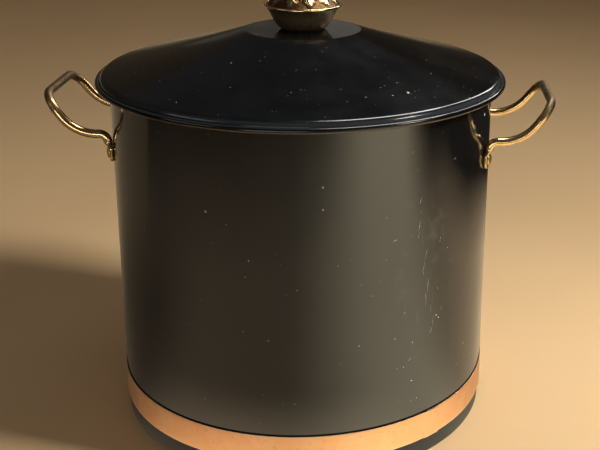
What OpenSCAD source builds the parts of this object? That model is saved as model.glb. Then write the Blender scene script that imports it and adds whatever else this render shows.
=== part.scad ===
// Coal tub of enamelled sheet steel with a copper band, brass rod handles and a lift-off lid.
// Millimetres. The tub stands on z = 0, centred on the Z axis, with its handles along X.

/* [Tub] */
// Outer diameter of the wall
tub_d = 330; // [200:1:400]
// Height of the wall's curled top edge above the floor
tub_h = 308; // [300:1:420]
// Thickness of the wall sheet
wall_t = 1.0; // [0.6:0.1:1.5]
// Diameter of the wire in the top edge
top_wire_d = 4.0; // [3:0.5:6]
// Width of the lap where the wall's ends meet at the back
seam_w = 14; // [8:1:25]

/* [Foot] */
// Height of the foot that shows under the copper band
foot_show = 16; // [8:1:30]
// Thickness of the foot ring's sheet
foot_t = 1.2; // [0.8:0.1:1.6]
// How far the foot ring reaches up inside the wall
foot_lap = 26; // [15:1:40]
// Height of the hem folded inside the foot ring
hem_h = 8; // [6:0.5:12]
// Height of the floor disc's top above the ground
floor_h = 15; // [12:1:30]
// Thickness of the floor disc
floor_t = 1.0; // [0.8:0.1:1.5]
// Diameter of the floor disc's raised middle
floor_panel_d = 250; // [100:1:260]
// Rise of the floor disc's middle
floor_panel_h = 2; // [1:0.5:4]

/* [Copper band] */
// Width of the strip
band_w = 25; // [15:1:40]
// Thickness of the strip
band_t = 0.8; // [0.5:0.1:1.5]
// Length of the strip's lapped end
band_lap = 14; // [8:1:25]
// Direction of the lap, seen from above
band_lap_angle = -47; // [-90:1:-10]

/* [Handles] */
// Diameter of the brass rod
rod_d = 7.5; // [6:0.5:10]
// How far the handle's legs sit below the tub's curled top edge
leg_drop = 50; // [30:1:120]
// Distance between a handle's two legs
leg_gap = 93; // [70:1:120]
// How far the legs run straight out before they turn up
leg_run = 25.5; // [15:0.5:40]
// How far the grip stands out past the end of the legs' straight run
grip_out = 24; // [15:1:40]
// Height of the grip above the legs
grip_rise = 32; // [15:1:45]
// Distance between the grip's two corners
grip_w = 87; // [60:1:110]
// Radius of the bend from the legs up to the grip
leg_bend = 23; // [12:1:30]
// Radius of the grip's corners
grip_bend = 13; // [8:1:18]
// Radius of the bend from the legs down to the feet
foot_bend = 7; // [5.5:0.5:10]
// Length of a foot below the leg
foot_len = 24; // [20:1:35]
// Width of a foot
foot_w = 13; // [10:0.5:16]
// Thickness of a flattened foot
foot_flat = 3.2; // [2:0.2:4]

/* [Rivets] */
// Diameter of the rivets' shanks
rivet_d = 4.8; // [3:0.1:5.5]
// Diameter of the rivets' heads
rivet_head_d = 10; // [8:0.5:11]
// Height of the rivets' heads
rivet_head_h = 2.4; // [1.5:0.1:3.5]
// Height of a rivet above the end of its foot
rivet_up = 8; // [7:0.5:10]
// Diameter of the washers inside the wall
washer_d = 12; // [10.5:0.5:16]
// Thickness of the washers inside the wall
washer_t = 1.2; // [0.8:0.1:2]

/* [Lid] */
// Thickness of the lid sheet
lid_t = 0.8; // [0.6:0.1:1.2]
// Gap all round between the tub's curled edge and the lid's flange
lid_play = 2.0; // [1.5:0.1:4]
// Radius of the lid's rounded shoulder
shoulder_r = 5.5; // [4:0.5:9]
// Length of the straight flange between the shoulder and the rolled rim
flange_len = 1.5; // [0.5:0.5:20]
// Slope of the lid, in degrees
lid_slope = 16; // [8:0.5:25]
// How far the lid's slope sinks below a straight line
lid_hollow = 1.2; // [0.2:0.1:3]
// Diameter of the lid's flat top
plateau_d = 100; // [60:1:140]
// Diameter of the wire in the lid's rim
lid_wire_d = 3.0; // [1.6:0.2:4]

/* [Knob] */
// Diameter of the bowl at its bottom
bowl_foot_d = 36; // [30:1:50]
// Diameter of the bowl's rim
bowl_rim_d = 67; // [56:1:80]
// Height of the bowl
bowl_h = 22; // [16:1:35]
// Thickness of the bowl's brass
bowl_t = 1.2; // [0.8:0.1:2]
// Height of the crown above the bowl's rim
crown_h = 15; // [8:1:25]
// Thickness of the crown's sheet
crown_t = 1.0; // [0.8:0.1:1.5]
// Number of leaves in the crown's outer ring
crown_leaves = 10; // [6:1:14]
// Height of the leaves above the dome
leaf_h = 1.8; // [0.6:0.1:3]
// Diameter of the screw
screw_d = 6; // [4:0.5:8]

/* [Hidden] */

// Clearance between sheets and pins that are pressed together
fit_gap = 0.05;
// Clearance between the resting lid and the tub
rest_gap = 0.3;
// Smoothness of turned and rolled shapes
fine = 96;
// Overshoot of the cutting tools
cut = 1;
// How much thinner the rod's straight runs are than its bends, and how far they reach into them
run_step = 0.05;
run_tuck = 0.5;
// How far a curled edge goes round its wire past the wire's outer side, in degrees
curl_close = 115;

// Wall and curled top edge
tub_r = tub_d / 2;
wall_in_r = tub_r - wall_t;
curl_r = top_wire_d / 2 + fit_gap + wall_t;
curl_ring_r = wall_in_r + curl_r;
curl_z = tub_h - curl_r;
wall_z0 = foot_show + 2;

// Foot ring, floor and band
foot_r = wall_in_r - fit_gap;
foot_in_r = foot_r - foot_t;
pan_r = foot_in_r - fit_gap;
hem_r = pan_r - floor_t - fit_gap;
pan_bend = 3;
panel_r = floor_panel_d / 2;
band_in_r = tub_r + fit_gap;
band_r = band_in_r + band_t;

// Handles, along the handle's own axis
leg_h = tub_h - leg_drop;
rod_r = rod_d / 2;
leg_t = leg_gap / 2;
foot_face_r = tub_r + fit_gap;
rod_seat_r = foot_face_r + fit_gap + rod_r;
foot_axis_r = sqrt(rod_seat_r * rod_seat_r - leg_t * leg_t);
leg_end = tub_r + leg_run;
grip_r = leg_end + grip_out;
grip_z = leg_h + grip_rise;
grip_t = grip_w / 2;
foot_angle = asin(leg_t / rod_seat_r);
foot_z0 = leg_h - foot_len;
foot_flat_r = foot_face_r + foot_flat;
neck_z1 = leg_h - foot_bend - 0.5;

// Rivets and their washers
rivet_z = foot_z0 + rivet_up;
neck_z0 = rivet_z + rivet_head_d / 2 + 0.3;
neck_full = 0.6;
rivet_hole_d = rivet_d + 2 * fit_gap;
rivet_seat_r = foot_flat_r + fit_gap;
washer_face_r = wall_in_r - sagitta(wall_in_r, washer_d / 2) - fit_gap;
tail_face_r = washer_face_r - washer_t;
tail_d = rivet_d * 1.5;
tail_h = rivet_d * 0.35;

// Lid, from its rim to its flat top
flange_in_r = curl_ring_r + curl_r + lid_play;
flange_r = flange_in_r + lid_t;
rim_r = lid_wire_d / 2 + fit_gap + lid_t;
rim_ring_r = flange_in_r + rim_r;
shoulder_ring_r = flange_r - shoulder_r;
plateau_r = plateau_d / 2;
// The lid rests on the curled edge: its lower face passes this high above the curl's centre
lid_seat = (curl_r + rest_gap + lid_t) / cos(lid_slope);
shoulder_z = curl_z + lid_seat + (curl_ring_r - shoulder_ring_r) * tan(lid_slope)
    - shoulder_r / cos(lid_slope);
rim_z = shoulder_z - flange_len;
slope_r0 = shoulder_ring_r + shoulder_r * sin(lid_slope);
slope_z0 = shoulder_z + shoulder_r * cos(lid_slope);
plateau_z = slope_z0 + (slope_r0 - plateau_r) * tan(lid_slope);

// Knob
bowl_foot_r = bowl_foot_d / 2;
bowl_rim_r = bowl_rim_d / 2;
bowl_z0 = plateau_z + fit_gap;
bowl_z1 = bowl_z0 + bowl_h;
// The bowl's wall turns up from its foot to a waist, and flares from there to its rim
bowl_turn = 0.27;
bowl_waist_r = bowl_foot_r + (bowl_rim_r - bowl_foot_r) * 0.57;
bowl_flare = (bowl_rim_r - bowl_waist_r) / (bowl_h * bowl_turn - bowl_t);
// The crown's edge sits in the bowl's mouth, and its lower side is as much smaller as the bowl is
crown_r = bowl_rim_r - 2 * bowl_t - 2 * fit_gap;
crown_z0 = bowl_z1 - bowl_t;
crown_under_r = crown_r - crown_t * bowl_flare;
screw_hole_d = screw_d + 0.4;
screw_head_d = screw_d * 2;
screw_head_h = screw_d * 0.6;
knob_washer_d = screw_d * 3;
knob_washer_t = screw_d * 0.25;
nut_w = screw_d * 1.67;
nut_h = screw_d * 0.8;
lid_under_z = plateau_z - lid_t;
washer_z = lid_under_z - fit_gap - knob_washer_t;
nut_z = washer_z - fit_gap - nut_h;
screw_tail = 2;

// Depth of a circle's arc behind its chord
function sagitta(r, half_chord) = r - sqrt(r * r - half_chord * half_chord);

// Points on an arc about c, from angle a0 to a1
function arc(c, r, a0, a1, n = 10) =
    [for (i = [0:n]) c + r * [cos(a0 + (a1 - a0) * i / n), sin(a0 + (a1 - a0) * i / n)]];

// Point at t on a cubic curve with four control points
function bezier(p, t) =
    pow(1 - t, 3) * p[0] + 3 * t * pow(1 - t, 2) * p[1]
    + 3 * t * t * (1 - t) * p[2] + pow(t, 3) * p[3];

function unit(v) = v / norm(v);

// ---- Tub ----

// A sheet's edge curled outwards round a wire: over the top (up = 1) or under it (up = -1).
// It starts on the sheet's outer face and comes back on its inner face.
function curl(c, r, t, up) = concat(
    arc(c, r - t, 180, 180 - up * (180 + curl_close), 30),
    arc(c, r, 180 - up * (180 + curl_close), 180, 30)
);

module wall_section() {
    polygon(concat(
        [[wall_in_r, wall_z0], [tub_r, wall_z0]],
        curl([curl_ring_r, curl_z], curl_r, wall_t, 1)
    ));
}

// The lapped end of the wall, from above the copper band to below the curl
module wall_lap() {
    lap_angle = seam_w / tub_r * 180 / PI;
    lap_z0 = foot_show + band_w + 0.5;
    rotate([0, 0, 90 - lap_angle / 2])
        rotate_extrude(angle = lap_angle, $fn = fine)
            translate([tub_r - wall_t / 2, lap_z0])
                square([wall_t * 1.5, curl_z - curl_r - 0.5 - lap_z0]);
}

module body_shell() {
    color([0.05, 0.055, 0.065])
        difference() {
            union() {
                rotate_extrude($fn = fine)
                    wall_section();
                wall_lap();
            }
            for (side = [0, 180])
                rotate([0, 0, side])
                    rivet_holes();
        }
}

module top_wire() {
    color([0.45, 0.45, 0.45])
        rotate_extrude($fn = fine)
            translate([curl_ring_r, curl_z])
                circle(top_wire_d / 2, $fn = fine);
}

module foot_ring() {
    color([0.06, 0.06, 0.07])
        rotate_extrude($fn = fine)
            union() {
                translate([foot_in_r, 0])
                    square([foot_t, foot_show + foot_lap]);
                translate([hem_r - foot_t, 0])
                    square([foot_r - hem_r + foot_t, foot_t]);
                translate([hem_r - foot_t, 0])
                    square([foot_t, hem_h]);
            }
}

// Upper outline of the floor disc, from its middle to the foot of its flange, set in by d
function pan_outline(d) = concat(
    [[0, floor_h + floor_panel_h - d]],
    [[panel_r - 4 - d * 0.4, floor_h + floor_panel_h - d]],
    [[panel_r - d * 0.4, floor_h - d]],
    arc([pan_r - pan_bend, floor_h - pan_bend], pan_bend - d, 90, 0, 6),
    [[pan_r - d, foot_t + fit_gap]]
);

module base_pan() {
    lower = pan_outline(floor_t);
    color([0.16, 0.16, 0.17])
        rotate_extrude($fn = fine)
            polygon(concat(pan_outline(0), [for (i = [len(lower) - 1:-1:0]) lower[i]]));
}

// The space between two circles
module ring(r_in, r_out) {
    difference() {
        circle(r_out, $fn = fine);
        circle(r_in, $fn = fine);
    }
}

// The strip's shape seen from above: a ring with its outer end lapped over its inner end
module copper_band() {
    lap_angle = band_lap / band_r * 180 / PI;
    color([0.8, 0.47, 0.26])
        translate([0, 0, foot_show])
            rotate([0, 0, band_lap_angle])
                linear_extrude(height = band_w)
                    union() {
                        ring(band_in_r, band_r);
                        intersection() {
                            ring(band_r - band_t / 2, band_r + band_t);
                            polygon([
                                [0, 0],
                                [tub_r * 2, 0],
                                tub_r * 2 * [cos(lap_angle), sin(lap_angle)]
                            ]);
                        }
                    }
}

// ---- Handles ----

// Turns the Z axis onto direction d and the X axis onto direction x, and moves to p
module place(p, x, d) {
    y = cross(d, x);
    multmatrix([
        [x[0], y[0], d[0], p[0]],
        [x[1], y[1], d[1], p[1]],
        [x[2], y[2], d[2], p[2]],
        [0, 0, 0, 1]
    ])
        children();
}

// A direction square to d
function square_to(d) = unit(cross(d, abs(d[1]) < 0.9 ? [0, 1, 0] : [1, 0, 0]));

// How far a bend of radius r at corner b takes from each side of the corner
function bend_cut(a, b, c, r) = r * tan(turn(a, b, c) / 2);
function turn(a, b, c) = acos(max(-1, min(1, unit(b - a) * unit(c - b))));

// A straight piece of rod between two points, a hair thinner than the bends that it runs into
module rod_run(a, b) {
    place(a, square_to(unit(b - a)), unit(b - a))
        cylinder(h = norm(b - a), r = rod_r - run_step, $fn = 48);
}

// The round bend of radius r at corner b, between the runs from a and to c
module rod_bend(a, b, c, r) {
    u = unit(b - a);
    w = unit(c - b);
    axis = unit(cross(u, w));
    start = b - u * bend_cut(a, b, c, r);
    out = unit(cross(u, axis));
    place(start - out * r, out, axis)
        rotate_extrude(angle = turn(a, b, c), $fn = fine)
            translate([r, 0])
                circle(rod_r, $fn = 48);
}

// A rod along points p with bend radius r at each inner point
module bent_rod(p, r) {
    last = len(p) - 1;
    for (i = [1:last - 1])
        rod_bend(p[i - 1], p[i], p[i + 1], r[i]);
    for (i = [0:last - 1]) {
        u = unit(p[i + 1] - p[i]);
        skip_a = i == 0 ? 0 : bend_cut(p[i - 1], p[i], p[i + 1], r[i]) - run_tuck;
        skip_b = i == last - 1 ? 0 : bend_cut(p[i], p[i + 1], p[i + 2], r[i + 1]) - run_tuck;
        rod_run(p[i] + u * skip_a, p[i + 1] - u * skip_b);
    }
}

// The flattened foot: a plate curved to the wall, round below and drawn in to the rod above
module foot_plate() {
    intersection() {
        rotate_extrude($fn = fine)
            translate([foot_face_r, foot_z0 - cut])
                square([foot_flat, foot_len + 2 * cut]);
        rotate([90, 0, 90])
            linear_extrude(height = foot_flat_r + cut)
                union() {
                    polygon([
                        [-foot_w / 2, foot_z0 + foot_w / 2],
                        [foot_w / 2, foot_z0 + foot_w / 2],
                        [foot_w / 2, neck_z0],
                        [rod_r * 0.9, neck_z1],
                        [-rod_r * 0.9, neck_z1],
                        [-foot_w / 2, neck_z0]
                    ]);
                    translate([0, foot_z0 + foot_w / 2])
                        circle(foot_w / 2, $fn = 48);
                }
    }
}

// The rod's end above the plate, hammered off in a slope from its full thickness to the plate's
module foot_neck() {
    neck_len = neck_z1 - neck_z0;
    slope = atan((rod_d + fit_gap - foot_flat) / (neck_len - neck_full));
    difference() {
        translate([rod_seat_r, 0, neck_z0])
            cylinder(h = neck_len, r = rod_r, $fn = 48);
        translate([foot_flat_r, -rod_d, neck_z0])
            rotate([0, slope, 0])
                translate([0, 0, -rod_d])
                    cube([rod_d * 2, rod_d * 2, rod_d + neck_len * 2]);
    }
}

// Points of the rod's centre line, from one foot's bend round the grip to the other's
rod_path = [
    [foot_axis_r, -leg_t, neck_z1 - run_tuck],
    [foot_axis_r, -leg_t, leg_h],
    [leg_end, -leg_t, leg_h],
    [grip_r, -grip_t, grip_z],
    [grip_r, grip_t, grip_z],
    [leg_end, leg_t, leg_h],
    [foot_axis_r, leg_t, leg_h],
    [foot_axis_r, leg_t, neck_z1 - run_tuck]
];
rod_bends = [0, foot_bend, leg_bend, grip_bend, grip_bend, leg_bend, foot_bend, 0];

module rivet_holes() {
    for (side = [-1, 1])
        rotate([0, 0, side * foot_angle])
            translate([0, 0, rivet_z])
                rotate([0, 90, 0])
                    translate([0, 0, wall_in_r - 2 * cut])
                        cylinder(h = foot_flat + wall_t + 4 * cut, d = rivet_hole_d, $fn = 48);
}

module handle() {
    color([0.78, 0.6, 0.28])
        difference() {
            union() {
                bent_rod(rod_path, rod_bends);
                for (side = [-1, 1])
                    rotate([0, 0, side * foot_angle]) {
                        foot_plate();
                        foot_neck();
                    }
            }
            rivet_holes();
        }
}

module handle_right() {
    handle();
}

module handle_left() {
    rotate([0, 0, 180])
        handle();
}

// Repeats its children at each of the four handle feet, with Z pointing out of the wall
module at_feet() {
    for (turn_by = [0, 180], side = [-1, 1])
        rotate([0, 0, turn_by + side * foot_angle])
            translate([0, 0, rivet_z])
                rotate([0, 90, 0])
                    children();
}

// Half outline of a domed head of diameter d and height h
module dome_section(d, h) {
    ball_r = (d * d / 4 + h * h) / (2 * h);
    intersection() {
        translate([0, h - ball_r])
            circle(ball_r, $fn = fine);
        square([d, h * 2]);
    }
}

module handle_rivets() {
    color([0.8, 0.63, 0.32])
        at_feet()
            union() {
                translate([0, 0, rivet_seat_r])
                    rotate_extrude($fn = 48)
                        dome_section(rivet_head_d, rivet_head_h);
                translate([0, 0, tail_face_r - fit_gap - cut / 2])
                    cylinder(h = rivet_seat_r - tail_face_r + fit_gap + cut, d = rivet_d, $fn = 48);
                translate([0, 0, tail_face_r - fit_gap])
                    mirror([0, 0, 1])
                        rotate_extrude($fn = 48)
                            dome_section(tail_d, tail_h);
            }
}

module rivet_washers() {
    color([0.6, 0.6, 0.6])
        at_feet()
            translate([0, 0, tail_face_r])
                difference() {
                    cylinder(h = washer_t, d = washer_d, $fn = 48);
                    translate([0, 0, -cut])
                        cylinder(h = washer_t + 2 * cut, d = rivet_hole_d, $fn = 48);
                }
}

// ---- Lid ----

// Height of the lid's slope at radius r: a straight line that sinks by lid_hollow in its middle
function slope_point(t) = [
    slope_r0 + (plateau_r - slope_r0) * t,
    slope_z0 + (plateau_z - slope_z0) * t - lid_hollow * 4 * t * (1 - t)
];

// Outline of the lid's face from its middle to the flange, set in by d
function lid_outline(d) = concat(
    [[0, plateau_z - d]],
    [[plateau_r - 3 * d * tan(lid_slope / 2), plateau_z - d]],
    [for (i = [9:-1:1]) slope_point(i / 10) - d * [sin(lid_slope), cos(lid_slope)]],
    arc([shoulder_ring_r, shoulder_z], shoulder_r - d, 90 - lid_slope, 0, 10)
);

module lid_section() {
    lower = lid_outline(lid_t);
    polygon(concat(
        lid_outline(0),
        curl([rim_ring_r, rim_z], rim_r, lid_t, -1),
        [for (i = [len(lower) - 1:-1:0]) lower[i]]
    ));
}

module lid_shell() {
    color([0.04, 0.045, 0.06])
        difference() {
            rotate_extrude($fn = fine)
                lid_section();
            translate([0, 0, lid_under_z - cut])
                cylinder(h = lid_t + 2 * cut, d = screw_hole_d, $fn = 48);
        }
}

module lid_wire() {
    color([0.45, 0.45, 0.45])
        rotate_extrude($fn = fine)
            translate([rim_ring_r, rim_z])
                circle(lid_wire_d / 2, $fn = 48);
}

// ---- Knob ----

// Outer outline of the bowl from its foot to its rim
bowl_curve = [
    [bowl_foot_r, bowl_z0],
    [bowl_waist_r, bowl_z0 + bowl_h * bowl_turn],
    [bowl_waist_r, bowl_z0 + bowl_h * (1 - bowl_turn)],
    [bowl_rim_r, bowl_z1 - bowl_t]
];

module knob_bowl() {
    steps = 14;
    outer = [for (i = [0:steps]) bezier(bowl_curve, i / steps)];
    inner = [for (i = [steps:-1:0]) outer[i] + [-bowl_t * 1.3, bowl_t * (1 - 0.6 * i / steps)]];
    color([0.34, 0.27, 0.16])
        difference() {
            rotate_extrude($fn = fine)
                union() {
                    polygon(concat([[0, bowl_z0]], outer, inner, [[0, bowl_z0 + bowl_t]]));
                    translate([bowl_rim_r - bowl_t, bowl_z1 - bowl_t])
                        circle(bowl_t, $fn = 32);
                }
            translate([0, 0, bowl_z0 - cut])
                cylinder(h = bowl_t + 2 * cut, d = screw_hole_d, $fn = 48);
        }
}

// Height of the crown's dome and leaves at distance s (0 to 1) from its middle and angle a
function crown_dome(s) = crown_h * (1 - s * s);
function leaf(s, a, n, from, to) =
    s < from || s > to ? 0
        : pow(sin(180 * (s - from) / (to - from)), 0.7) * pow(abs(cos(a * n / 2)), 0.8);
function crown_relief(s, a) =
    leaf_h * (leaf(s, a, crown_leaves, 0.45, 0.97)
        + leaf(s, a + 180 / crown_leaves, crown_leaves, 0.12, 0.6) * 0.9)
    + (s < 0.16 ? leaf_h * 1.4 * sqrt(1 - pow(s / 0.16, 2)) : 0);

// The embossed cap: a relief surface above, a plain dome with fewer rings below
module knob_crown() {
    rings = 14;
    under_rings = 5;
    spokes = crown_leaves * 6;
    top = [for (i = [1:rings], j = [0:spokes - 1])
        let (s = i / rings, a = 360 * j / spokes)
            [crown_r * s * cos(a), crown_r * s * sin(a), crown_z0 + crown_dome(s) + crown_relief(s, a)]];
    bottom = [for (i = [1:under_rings], j = [0:spokes - 1])
        let (s = i / under_rings, a = 360 * j / spokes)
            [crown_under_r * s * cos(a), crown_under_r * s * sin(a), crown_z0 + crown_dome(s) - crown_t]];
    middle = [
        [0, 0, crown_z0 + crown_dome(0) + crown_relief(0, 0)],
        [0, 0, crown_z0 + crown_dome(0) - crown_t]
    ];
    under = rings * spokes;
    mid = under + under_rings * spokes;
    function at(i, j) = (i - 1) * spokes + j % spokes;
    function low(i, j) = under + at(i, j);
    faces = concat(
        [for (i = [1:rings - 1], j = [0:spokes - 1]) [at(i, j), at(i, j + 1), at(i + 1, j + 1)]],
        [for (i = [1:rings - 1], j = [0:spokes - 1]) [at(i, j), at(i + 1, j + 1), at(i + 1, j)]],
        [for (i = [1:under_rings - 1], j = [0:spokes - 1])
            [low(i, j), low(i + 1, j + 1), low(i, j + 1)]],
        [for (i = [1:under_rings - 1], j = [0:spokes - 1])
            [low(i, j), low(i + 1, j), low(i + 1, j + 1)]],
        [for (j = [0:spokes - 1]) [mid, at(1, j + 1), at(1, j)]],
        [for (j = [0:spokes - 1]) [mid + 1, low(1, j), low(1, j + 1)]],
        [for (j = [0:spokes - 1]) [at(rings, j), at(rings, j + 1), low(under_rings, j + 1)]],
        [for (j = [0:spokes - 1]) [at(rings, j), low(under_rings, j + 1), low(under_rings, j)]]
    );
    color([0.85, 0.66, 0.33])
        polyhedron(concat(top, bottom, middle), faces);
}

module knob_screw() {
    color([0.75, 0.58, 0.3])
        union() {
            translate([0, 0, nut_z - screw_tail])
                cylinder(h = bowl_z0 + bowl_t + cut - nut_z + screw_tail, d = screw_d, $fn = 48);
            translate([0, 0, bowl_z0 + bowl_t + fit_gap])
                rotate_extrude($fn = 48)
                    dome_section(screw_head_d, screw_head_h);
        }
}

module knob_washer() {
    color([0.6, 0.6, 0.6])
        translate([0, 0, washer_z])
            difference() {
                cylinder(h = knob_washer_t, d = knob_washer_d, $fn = 48);
                translate([0, 0, -cut])
                    cylinder(h = knob_washer_t + 2 * cut, d = screw_hole_d, $fn = 48);
            }
}

module knob_nut() {
    color([0.55, 0.55, 0.55])
        translate([0, 0, nut_z])
            difference() {
                cylinder(h = nut_h, d = nut_w / cos(30), $fn = 6);
                translate([0, 0, -cut])
                    cylinder(h = nut_h + 2 * cut, d = screw_d + 2 * fit_gap, $fn = 48);
            }
}

body_shell();
top_wire();
foot_ring();
base_pan();
copper_band();
handle_left();
handle_right();
handle_rivets();
rivet_washers();
lid_shell();
lid_wire();
knob_bowl();
knob_crown();
knob_screw();
knob_washer();
knob_nut();
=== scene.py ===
"""Coal tub with a copper band, brass rod handles and a lift-off lid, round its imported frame.

Metres. The tub stands on z = 0, centred on Z, with its handles along X and its wall's lap at +Y.
"""

import math
import random

import bpy
from bpy.props import FloatProperty, FloatVectorProperty, IntProperty, PointerProperty
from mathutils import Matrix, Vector


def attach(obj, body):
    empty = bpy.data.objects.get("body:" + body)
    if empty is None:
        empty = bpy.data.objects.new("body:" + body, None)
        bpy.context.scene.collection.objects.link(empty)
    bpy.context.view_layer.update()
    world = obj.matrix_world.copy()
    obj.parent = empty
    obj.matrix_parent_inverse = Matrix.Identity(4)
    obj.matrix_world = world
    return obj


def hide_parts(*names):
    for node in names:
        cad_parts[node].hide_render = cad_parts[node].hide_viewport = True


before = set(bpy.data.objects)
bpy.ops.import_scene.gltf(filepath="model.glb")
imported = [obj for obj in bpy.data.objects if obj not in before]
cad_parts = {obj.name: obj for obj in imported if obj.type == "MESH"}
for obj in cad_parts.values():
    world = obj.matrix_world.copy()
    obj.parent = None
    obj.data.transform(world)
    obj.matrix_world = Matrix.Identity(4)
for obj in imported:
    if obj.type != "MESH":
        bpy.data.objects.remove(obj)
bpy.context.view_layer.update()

bl_info = {
    "name": "Coal tub",
    "version": (1, 0, 0),
    "blender": (4, 5, 0),
    "location": "3D View > Sidebar > Coal tub",
    "description": "Models a lidded coal tub round its packed frame",
    "category": "Object",
}

MM = 0.001
TURN = math.tau
SAME_PLACE = 0.00001
SMOOTH_BELOW = math.radians(38)


# ---- Sizes and colours ----


def length(name, description, default_mm):
    return FloatProperty(
        name=name, description=description, default=default_mm * MM, unit="LENGTH", precision=5
    )


def turn_angle(name, description, degrees):
    return FloatProperty(
        name=name, description=description, default=math.radians(degrees), unit="ROTATION"
    )


def tint(name, description, default):
    return FloatVectorProperty(
        name=name, description=description, default=default, subtype="COLOR", min=0, max=1
    )


class TubSizes(bpy.types.PropertyGroup):
    """Sizes of the wall, its curled edge, the foot and the copper strip"""

    wall_r: length("Wall radius", "Outer radius of the rolled wall", 165)
    wall_t: length("Wall sheet", "Thickness of the wall's sheet", 1.0)
    wall_foot: length("Wall foot", "Height where the wall starts above the floor", 18)
    curl_r: length("Curl radius", "Outer radius of the curled top edge's section", 3.05)
    curl_z: length("Curl height", "Height of the middle of the curled edge", 304.95)
    lap_w: length("Lap width", "Width of the wall's lapped end at the back", 14)
    lap_rise: length("Lap rise", "How far the lapped end stands out", 1.0)
    hoop_r: length("Foot radius", "Outer radius of the foot ring", 163.95)
    hoop_t: length("Foot sheet", "Thickness of the foot ring's sheet", 1.2)
    hoop_h: length("Foot height", "Height of the foot ring", 42)
    hem_h: length("Hem height", "Height of the hem folded inside the foot ring", 8)
    hem_gap: length("Hem gap", "Room in the hem for the floor disc's flange", 1.1)
    band_r: length("Band radius", "Inner radius of the copper strip", 165.05)
    band_t: length("Band sheet", "Thickness of the copper strip", 0.8)
    band_z: length("Band height", "Height of the strip's lower edge", 16)
    band_w: length("Band width", "Width of the strip", 25)
    band_lap_at: turn_angle("Band lap place", "Direction of the lap's start, from above", -47)
    band_lap: turn_angle("Band lap", "How far the strip's ends overlap", 4.81)


class HandleSizes(bpy.types.PropertyGroup):
    """Sizes of the bent rod handles and their rivets"""

    rod_r: length("Rod radius", "Radius of the brass rod", 3.75)
    leg_y: length("Leg place", "Distance of each leg from the handle's middle", 46.5)
    foot_x: length("Foot place", "Distance of a foot's rod from the tub's middle plane", 162.3)
    leg_z: length("Leg height", "Height of the legs above the floor", 258)
    leg_end: length("Leg end", "Where the legs turn up", 190.5)
    grip_x: length("Grip place", "Distance of the grip from the tub's middle plane", 214.5)
    grip_y: length("Grip half width", "Half the distance between the grip's corners", 43.5)
    grip_z: length("Grip height", "Height of the grip above the floor", 290)
    foot_bend: length("Foot bend", "Radius of the bend above a foot", 7)
    leg_bend: length("Leg bend", "Radius of the bend from leg to grip", 38)
    grip_bend: length("Grip bend", "Radius of the grip's corners", 18)
    foot_face: length("Foot face", "Radius of the feet's inner faces", 165.05)
    foot_t: length("Foot thickness", "Thickness of a hammered foot", 3.2)
    foot_w: length("Foot width", "Width of a hammered foot", 13)
    foot_z: length("Foot end", "Height of a foot's lower end", 234)
    rivet_z: length("Rivet height", "Height of the rivets", 242)
    rivet_r: length("Rivet radius", "Radius of a rivet's shank", 2.4)
    head_r: length("Head radius", "Radius of a rivet's head", 5)
    head_h: length("Head height", "Height of a rivet's head", 2.4)
    head_seat: length("Head seat", "Radius from the tub's middle to a head's flat side", 168.3)
    tail_seat: length("Tail seat", "Radius from the tub's middle to a tail's flat side", 162.59)


class LidSizes(bpy.types.PropertyGroup):
    """Sizes of the lid's cover"""

    sheet: length("Lid sheet", "Thickness of the lid's sheet", 0.8)
    hole_r: length("Hole radius", "Radius of the hole for the knob's screw", 3.2)
    top_z: length("Top height", "Height of the lid's flat top", 342.83)
    top_r: length("Top radius", "Radius of the lid's flat top", 50)
    slope_r: length("Slope start", "Radius where the slope meets the shoulder", 168.92)
    slope_z: length("Slope height", "Height where the slope meets the shoulder", 308.74)
    slope: turn_angle("Slope", "Slope of the lid's cone", 16)
    sag: length("Sag", "How far the slope sinks in its middle", 1.2)
    shoulder_r: length("Shoulder radius", "Radius of the rounded shoulder", 5.5)
    flange_r: length("Flange radius", "Outer radius of the lid's flange", 172.9)
    shoulder_z: length("Shoulder height", "Height of the middle of the shoulder's round", 303.45)
    bead_r: length("Bead radius", "Radius of the rolled rim's section", 2.35)
    bead_z: length("Bead height", "Height of the middle of the rolled rim", 301.95)
    bead_close: turn_angle("Bead closing", "How far the rim rolls past its outer side", 115)


class KnobSizes(bpy.types.PropertyGroup):
    """Sizes of the knob's bowl and its embossed cap"""

    bowl_z: length("Bowl height", "Height of the bowl's underside", 342.88)
    bowl_h: length("Bowl depth", "Height of the bowl from its underside to its rim", 22)
    foot_r: length("Bowl foot radius", "Radius of the bowl's underside", 18)
    waist_r: length("Bowl waist radius", "Radius that the bowl's wall leans towards", 26.835)
    rim_r: length("Bowl rim radius", "Outer radius of the bowl's rim", 33.5)
    bowl_t: length("Bowl sheet", "Thickness of the bowl's brass", 1.2)
    cap_r: length("Cap radius", "Radius of the embossed cap", 31)
    cap_z: length("Cap height", "Height of the cap's edge", 363.68)
    cap_h: length("Cap dome", "Height of the cap's dome", 15)
    cap_t: length("Cap sheet", "Thickness of the cap's sheet", 1.0)
    leaf_h: length("Leaf relief", "How far the leaves stand out of the cap", 1.8)
    leaves: IntProperty(
        name="Leaves", description="Number of leaves in each outer ring", default=10, min=5, max=16
    )


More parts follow.
